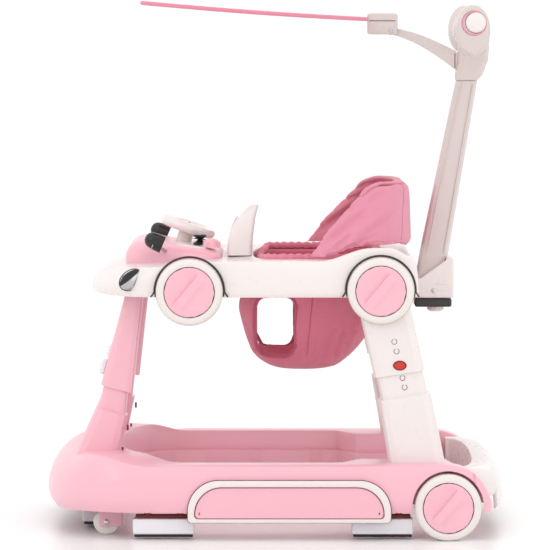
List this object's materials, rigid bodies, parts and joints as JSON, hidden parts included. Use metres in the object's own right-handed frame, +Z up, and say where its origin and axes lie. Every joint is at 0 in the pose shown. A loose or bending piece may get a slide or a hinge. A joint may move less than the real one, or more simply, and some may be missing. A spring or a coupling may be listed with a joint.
{
  "type": "baby walker",
  "caption": "Car-style baby walker with a play tray, a cloth seat, telescopic legs, a round-cornered wheeled base, a parent handle and a small canopy.",
  "frame": {"origin": "on the floor, at the middle of the length and the width", "axes": "+Z up, -X forwards towards the nose, +Y to the right-hand side"},
  "size_m": [0.724, 0.602, 0.8262],
  "materials": {
    "pink_plastic": "satin moulded",
    "white_plastic": "satin moulded",
    "gloss_white": "glossy",
    "black_plastic": "satin moulded",
    "red_plastic": "satin moulded",
    "seat_cloth": "woven, padded",
    "canopy_cloth": "woven, thin",
    "lamp_lens": "silvered",
    "steel": "plain"
  },
  "bodies": {
    "base": {"base_shell": "pink_plastic", "rear_bumper": "white_plastic", "rear_axle": "steel", "front_stopper": "white_plastic", "side_trim_left": "white_plastic", "side_panel_left": "pink_plastic", "front_leg_left": "pink_plastic", "rear_leg_left": "white_plastic", "middle_stopper_left": "white_plastic", "rear_stopper_left": "white_plastic", "side_trim_right": "white_plastic", "side_panel_right": "pink_plastic", "front_leg_right": "pink_plastic", "rear_leg_right": "white_plastic", "middle_stopper_right": "white_plastic", "rear_stopper_right": "white_plastic"},
    "rear_sleeves": {"rear_sleeve_left": "white_plastic", "rear_sleeve_right": "white_plastic"},
    "deck": {"deck_shell": "white_plastic", "deck_hood": "pink_plastic", "steering_column": "white_plastic", "grab_bar": "gloss_white", "seat_sling": "seat_cloth", "seat_backrest": "seat_cloth", "handle_socket": "white_plastic", "handle_bracket": "black_plastic", "front_sleeve_left": "pink_plastic", "headlight_left": "lamp_lens", "front_disc_left": "pink_plastic", "rear_disc_left": "pink_plastic", "front_sleeve_right": "pink_plastic", "headlight_right": "lamp_lens", "front_disc_right": "pink_plastic", "rear_disc_right": "pink_plastic"},
    "handle": {"handle_pole": "white_plastic", "handle_neck": "white_plastic", "canopy_arm": "white_plastic"},
    "grip": {"grip_bar": "gloss_white"},
    "canopy": {"canopy_clamp": "white_plastic", "canopy": "canopy_cloth"},
    "steering_wheel": {"steering_wheel": "gloss_white"},
    "toy_roller": {"toy_roller": "black_plastic"},
    "toy_knob": {"toy_knob": "pink_plastic"},
    "handle_knob": {"handle_knob": "white_plastic"},
    "rear_wheel_left": {"rear_wheel_left": "white_plastic", "rear_hub_cap_left": "pink_plastic"},
    "caster_left": {"caster_fork_left": "pink_plastic"},
    "caster_wheel_left": {"caster_wheel_left": "white_plastic"},
    "release_button_left": {"release_button_left": "white_plastic"},
    "lock_pin_left": {"lock_pin_left": "red_plastic"},
    "mirror_left": {"mirror_left": "black_plastic"},
    "grip_button_left": {"grip_button_left": "white_plastic"},
    "rear_wheel_right": {"rear_wheel_right": "white_plastic", "rear_hub_cap_right": "pink_plastic"},
    "caster_right": {"caster_fork_right": "pink_plastic"},
    "caster_wheel_right": {"caster_wheel_right": "white_plastic"},
    "release_button_right": {"release_button_right": "white_plastic"},
    "lock_pin_right": {"lock_pin_right": "red_plastic"},
    "mirror_right": {"mirror_right": "black_plastic"},
    "grip_button_right": {"grip_button_right": "white_plastic"}
  },
  "joints": [
    {"name": "deck_height", "type": "slide", "parent": "base", "child": "deck", "axis": [0.2288, 0, 0.9735], "range_m": [-0.035, 0]},
    {"name": "rear_sleeve_height", "type": "slide", "parent": "base", "child": "rear_sleeves", "axis": [-0.2214, 0, 0.9752], "range_m": [-0.035, 0.0005]},
    {"name": "rear_wheel_spin_left", "type": "hinge", "parent": "base", "child": "rear_wheel_left", "pos_m": [0.266, -0.281, 0.051], "axis": [0, 1, 0], "continuous": true},
    {"name": "caster_swivel_left", "type": "hinge", "parent": "base", "child": "caster_left", "pos_m": [-0.25, -0.21, 0.0203], "axis": [0, 0, 1], "continuous": true},
    {"name": "caster_spin_left", "type": "hinge", "parent": "caster_left", "child": "caster_wheel_left", "pos_m": [-0.262, -0.21, 0.0203], "axis": [0, 1, 0], "continuous": true},
    {"name": "release_press_left", "type": "slide", "parent": "deck", "child": "release_button_left", "axis": [1, 0, 0], "range_m": [0, 0.002], "stiffness_N_per_m": 800, "springref_m": -0.002},
    {"name": "lock_pin_press_left", "type": "slide", "parent": "rear_sleeves", "child": "lock_pin_left", "axis": [0, 1, 0], "range_m": [0, 0.001], "stiffness_N_per_m": 800, "springref_m": -0.002},
    {"name": "mirror_turn_left", "type": "hinge", "parent": "deck", "child": "mirror_left", "pos_m": [-0.172, -0.1192, 0.436], "axis": [-0.4773, -0.7534, 0.4523], "range_deg": [-20.05, 20.05]},
    {"name": "grip_button_press_left", "type": "slide", "parent": "grip", "child": "grip_button_left", "axis": [0, 1, 0], "range_m": [0, 0.003], "stiffness_N_per_m": 600, "springref_m": -0.003},
    {"name": "rear_wheel_spin_right", "type": "hinge", "parent": "base", "child": "rear_wheel_right", "pos_m": [0.266, 0.281, 0.051], "axis": [0, 1, 0], "continuous": true},
    {"name": "caster_swivel_right", "type": "hinge", "parent": "base", "child": "caster_right", "pos_m": [-0.25, 0.21, 0.0203], "axis": [0, 0, 1], "continuous": true},
    {"name": "caster_spin_right", "type": "hinge", "parent": "caster_right", "child": "caster_wheel_right", "pos_m": [-0.262, 0.21, 0.0203], "axis": [0, 1, 0], "continuous": true},
    {"name": "release_press_right", "type": "slide", "parent": "deck", "child": "release_button_right", "axis": [1, 0, 0], "range_m": [0, 0.002], "stiffness_N_per_m": 800, "springref_m": -0.002},
    {"name": "lock_pin_press_right", "type": "slide", "parent": "rear_sleeves", "child": "lock_pin_right", "axis": [0, -1, 0], "range_m": [0, 0.001], "stiffness_N_per_m": 800, "springref_m": -0.002},
    {"name": "mirror_turn_right", "type": "hinge", "parent": "deck", "child": "mirror_right", "pos_m": [-0.172, 0.1192, 0.436], "axis": [-0.4773, 0.7534, 0.4523], "range_deg": [-20.05, 20.05]},
    {"name": "grip_button_press_right", "type": "slide", "parent": "grip", "child": "grip_button_right", "axis": [0, -1, 0], "range_m": [0, 0.003], "stiffness_N_per_m": 600, "springref_m": -0.003},
    {"name": "steering_turn", "type": "hinge", "parent": "deck", "child": "steering_wheel", "pos_m": [-0.139, 0, 0.468], "axis": [0.309, 0, 0.9511], "continuous": true},
    {"name": "roller_turn", "type": "hinge", "parent": "deck", "child": "toy_roller", "pos_m": [-0.119, -0.06, 0.4421], "axis": [0, 0, 1], "continuous": true},
    {"name": "toy_knob_turn", "type": "hinge", "parent": "deck", "child": "toy_knob", "pos_m": [-0.1, -0.085, 0.4397], "axis": [0, 0, 1], "continuous": true},
    {"name": "handle_knob_turn", "type": "hinge", "parent": "deck", "child": "handle_knob", "pos_m": [0.2573, 0, 0.34], "axis": [0, 0, 1], "continuous": true},
    {"name": "handle_lift", "type": "slide", "parent": "deck", "child": "handle", "axis": [0.1833, 0, 0.983], "range_m": [0, 0.045]},
    {"name": "grip_tilt", "type": "hinge", "parent": "handle", "child": "grip", "pos_m": [0.3093, 0, 0.782], "axis": [0, 1, 0], "range_deg": [-28.65, 28.65]},
    {"name": "canopy_tilt", "type": "hinge", "parent": "handle", "child": "canopy", "pos_m": [0.1843, 0, 0.7815], "axis": [0, 1, 0], "range_deg": [-20.05, 68.75]}
  ],
  "couplings": [
    {"joint": "rear_sleeve_height", "follows": "deck_height", "ratio": 0.99825}
  ]
}
